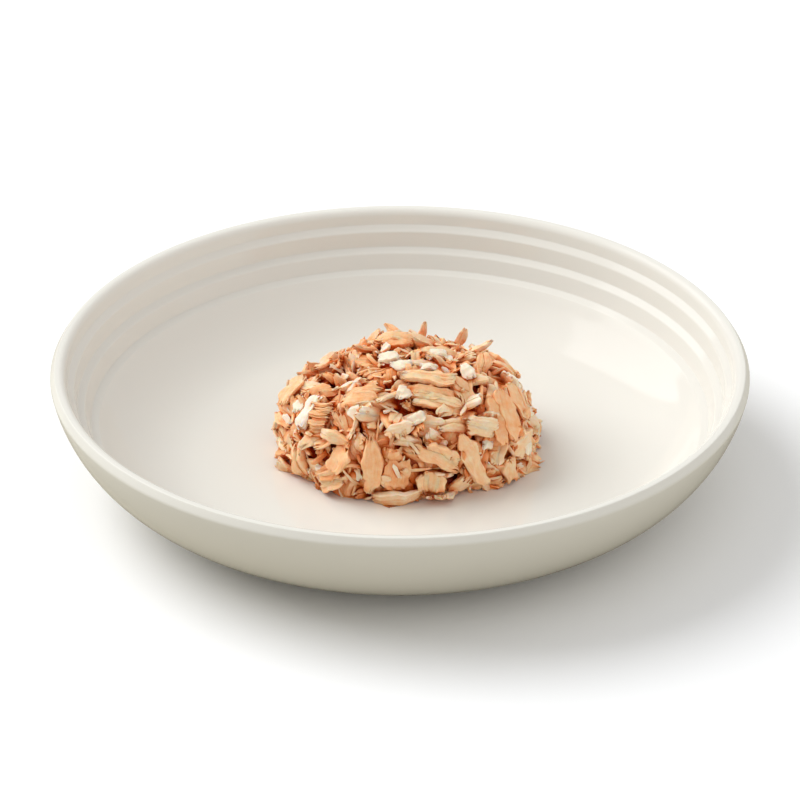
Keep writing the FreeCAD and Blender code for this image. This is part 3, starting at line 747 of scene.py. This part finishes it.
# A row gives the side of the heap a flake is on (degrees, 0 is right and -90 is the diner's
# side), its rise from the foot at 0 to the top at 1, mm over the heap's form, its turn (0 to
# the right, 90 away), tip and roll, then its length, width and thickness in mm, strands,
# squareness and tone.
EYE_CATCHING = (
    # the block with its cut fibres, and its pale face
    (-140, 0.40, 1.2, -20, 10, 15, 7.5, 10.5, 3.6, 10, 1.0, 0.50),
    (-150, 0.40, 1.2, 60, 0, -10, 12.0, 5.5, 3.0, 1, 0.7, 0.85),
    # the front, from left to right
    (-145, 0.15, 0.3, 105, 0, 0, 12.0, 4.5, 3.0, 2, 0.4, 0.52),
    (-125, 0.10, 0.4, 30, 0, 0, 12.0, 5.0, 3.0, 2, 0.5, 0.54),
    (-120, 0.25, 0.4, 60, 10, -20, 9.0, 7.0, 2.5, 1, 0.7, 0.48),
    (-125, 0.35, 0.6, -20, 10, 20, 11.0, 4.0, 2.5, 1, 0.2, 0.62),
    (-105, 0.25, 0.6, 90, 0, 0, 20.0, 6.5, 3.0, 1, 0.3, 0.46),
    (-95, 0.20, -0.8, 80, 0, 10, 11.0, 8.5, 2.5, 1, 0.9, 0.42),
    (-95, 0.45, 0.8, 15, 0, 20, 10.0, 4.5, 3.0, 1, 0.4, 0.68),
    (-95, 0.05, 0.6, 5, 0, 30, 16.0, 6.0, 3.0, 1, 0.4, 0.70),
    (-80, 0.15, 0.6, 85, 10, 0, 7.5, 8.0, 2.5, 3, 0.8, 0.54),
    (-75, 0.30, 0.9, -25, 0, 10, 17.0, 5.0, 3.0, 2, 0.2, 0.52),
    (-60, 0.25, 0.8, -65, 0, 0, 20.0, 6.0, 2.5, 1, 0.5, 0.55),
    (-65, 0.45, 0.8, 5, 5, 20, 13.0, 3.5, 2.0, 2, 0.2, 0.64),
    (-50, 0.40, 0.8, -5, 0, 0, 12.0, 5.0, 3.0, 2, 0.6, 0.64),
    (-65, 0.10, 0.2, 20, 0, 0, 10.0, 4.0, 2.5, 1, 0.4, 0.60),
    (-40, 0.10, 0.4, -80, 0, 0, 9.0, 5.0, 2.5, 1, 0.7, 0.56),
    # the right side
    (-35, 0.40, 0.6, -70, 0, 0, 20.0, 8.5, 3.0, 2, 0.3, 0.44),
    (-15, 0.40, 0.6, -50, 0, 0, 16.0, 5.5, 2.5, 2, 0.3, 0.50),
    (-25, 0.20, 0.2, -30, 0, 0, 12.0, 10.0, 2.5, 1, 0.9, 0.60),
    (15, 0.50, 0.9, 10, 0, 0, 10.0, 3.0, 2.0, 1, 0.2, 0.52),
    # below the top: a slab on the left and the stack of strands
    (-125, 0.60, 0.7, -10, 0, 10, 15.0, 6.5, 2.5, 2, 0.5, 0.46),
    (-70, 0.75, 0.9, -5, 0, -10, 18.0, 4.5, 2.5, 2, 0.3, 0.54),
    (-70, 0.65, 0.5, -5, 0, 0, 19.0, 4.0, 2.5, 2, 0.3, 0.48),
    (-70, 0.60, 0.1, -10, 0, 10, 17.0, 4.0, 2.5, 2, 0.3, 0.58),
    # over the top and behind, two of them standing up
    (80, 0.60, 1.5, -80, -65, 0, 9.0, 2.2, 1.5, 1, 0.0, 0.62),
    (55, 0.55, 1.5, -90, -65, 0, 9.0, 3.0, 1.6, 1, 0.0, 0.66),
    (30, 0.60, 2.0, 0, -50, 0, 9.0, 3.0, 1.8, 1, 0.0, 0.60),
    (105, 0.75, 0.6, 5, 0, 10, 12.0, 7.0, 2.5, 3, 0.6, 0.46),
    (150, 0.50, 0.5, 30, 0, 0, 14.0, 5.0, 2.5, 2, 0.3, 0.52),
    (30, 0.45, 0.4, -35, 0, 0, 13.0, 4.5, 2.5, 2, 0.3, 0.54),
    (180, 0.40, 0.4, 50, 0, 0, 14.0, 5.0, 2.5, 2, 0.3, 0.52),
)
PALE_BITS = (
    (-95, 0.65, 0.8, 40, 0, 0, 5.0, 4.0, 2.2, 1, 0.9, 1.0),
    (-120, 0.50, 0.6, -80, 0, 0, 5.5, 4.0, 2.2, 1, 0.8, 1.0),
    (-85, 0.50, 0.8, 20, 0, 0, 6.0, 4.0, 2.2, 1, 0.8, 1.0),
    (-160, 0.40, 0.6, 80, 0, 0, 6.0, 3.5, 2.2, 1, 0.8, 1.0),
    (-180, 0.90, 0.9, 10, 0, 0, 6.5, 5.0, 2.2, 1, 0.9, 1.0),
    (-110, 0.90, 0.8, -10, 0, 0, 7.5, 4.0, 2.0, 1, 0.9, 1.0),
    (-50, 0.85, 0.8, 0, 0, 0, 6.0, 3.0, 2.0, 1, 0.9, 1.0),
    (20, 0.85, 0.8, 30, 0, 0, 7.0, 4.5, 2.2, 1, 0.8, 1.0),
    (-20, 0.70, 0.8, -70, 0, 0, 7.0, 4.0, 2.4, 1, 0.8, 1.0),
    (-130, 0.15, 0.2, 0, 0, 0, 3.5, 2.5, 2.0, 1, 0.9, 1.0),
    (-50, 0.30, 0.2, 0, 0, 0, 4.0, 3.0, 2.0, 1, 0.9, 1.0),
    (5, 0.45, 0.5, -20, 0, 0, 7.0, 4.0, 2.0, 1, 0.9, 1.0),
)
TOP_CURL = 1.5
HALF_THICKNESS = 0.9              # mm, so that a flake lies on the form and not half in it
LARGEST_POWER = 500               # a larger power of e isn't a number

low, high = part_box("tuna_heap")
heap_middle = Vector(((low.x + high.x) / 2, (low.y + high.y) / 2, FLOOR))
heap_form = heap_shell("form", BED_INSET)
form_skin = BVHTree.FromPolygons([vertex.co.copy() for vertex in heap_form.vertices],
                                 [tuple(face.vertices) for face in heap_form.polygons])
bpy.data.meshes.remove(heap_form)


def on_heap(side, rise):
    """The point of the heap's form on that side and at that rise, and its normal."""
    around = math.radians(side)
    up = rise * math.pi / 2
    way = Vector(((high.x - low.x) / 2 * math.cos(around) * math.cos(up),
                  (high.y - low.y) / 2 * math.sin(around) * math.cos(up),
                  (high.z - FLOOR) * math.sin(up))).normalized()
    outside = heap_middle + way * (high.x - low.x)
    spot, normal, _, _ = form_skin.ray_cast(outside, -way)
    return spot, normal


def eased(over):
    """EASE * log(1 + exp(over / EASE)), as for the loose flakes."""
    return EASE * math.log(1 + math.exp(min(over / EASE, LARGEST_POWER)))


for name, finish, lumps, first_seed, rows in (("tuna_on_top", tuna, 1.0, 11, EYE_CATCHING),
                                              ("pale_bits", pale, 3.0, 51, PALE_BITS)):
    joined = bmesh.new()
    for number, (side, rise, over, heading, tip, roll, *form, shade) in enumerate(rows):
        length, width, thick, strands, block = form
        flake = flake_mesh(name, length, width, thick, first_seed + number, strands, TOP_CURL, block,
                           lumps)
        spot, normal = on_heap(side, rise)
        right = (Vector((1, 0, 0)) - normal * normal.x).normalized()
        slope = Matrix((right, normal.cross(right), normal)).transposed().to_4x4()
        turn = Matrix.Rotation(math.radians(heading), 4, "Z") @ Matrix.Rotation(math.radians(tip), 4, "Y")
        turn = turn @ Matrix.Rotation(math.radians(roll), 4, "X")
        middle = spot + normal * (over + HALF_THICKNESS) * MM
        flake.transform(Matrix.Translation(middle) @ slope @ turn)
        tones = flake.attributes.new("tone", "FLOAT", "POINT")
        tones.data.foreach_set("value", [shade] * len(flake.vertices))
        joined.from_mesh(flake)
        bpy.data.meshes.remove(flake)
    for vertex in joined.verts:
        # eased on to the floor and under the top
        raised = FLOOR + eased(vertex.co.z - FLOOR)
        vertex.co.z = HEAP_TOP - eased(HEAP_TOP - raised)
    mesh = bpy.data.meshes.new(name)
    joined.to_mesh(mesh)
    joined.free()
    mesh.materials.append(finish)
    piece = bpy.data.objects.new(name, mesh)
    scene.collection.objects.link(piece)
    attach(piece, "root")
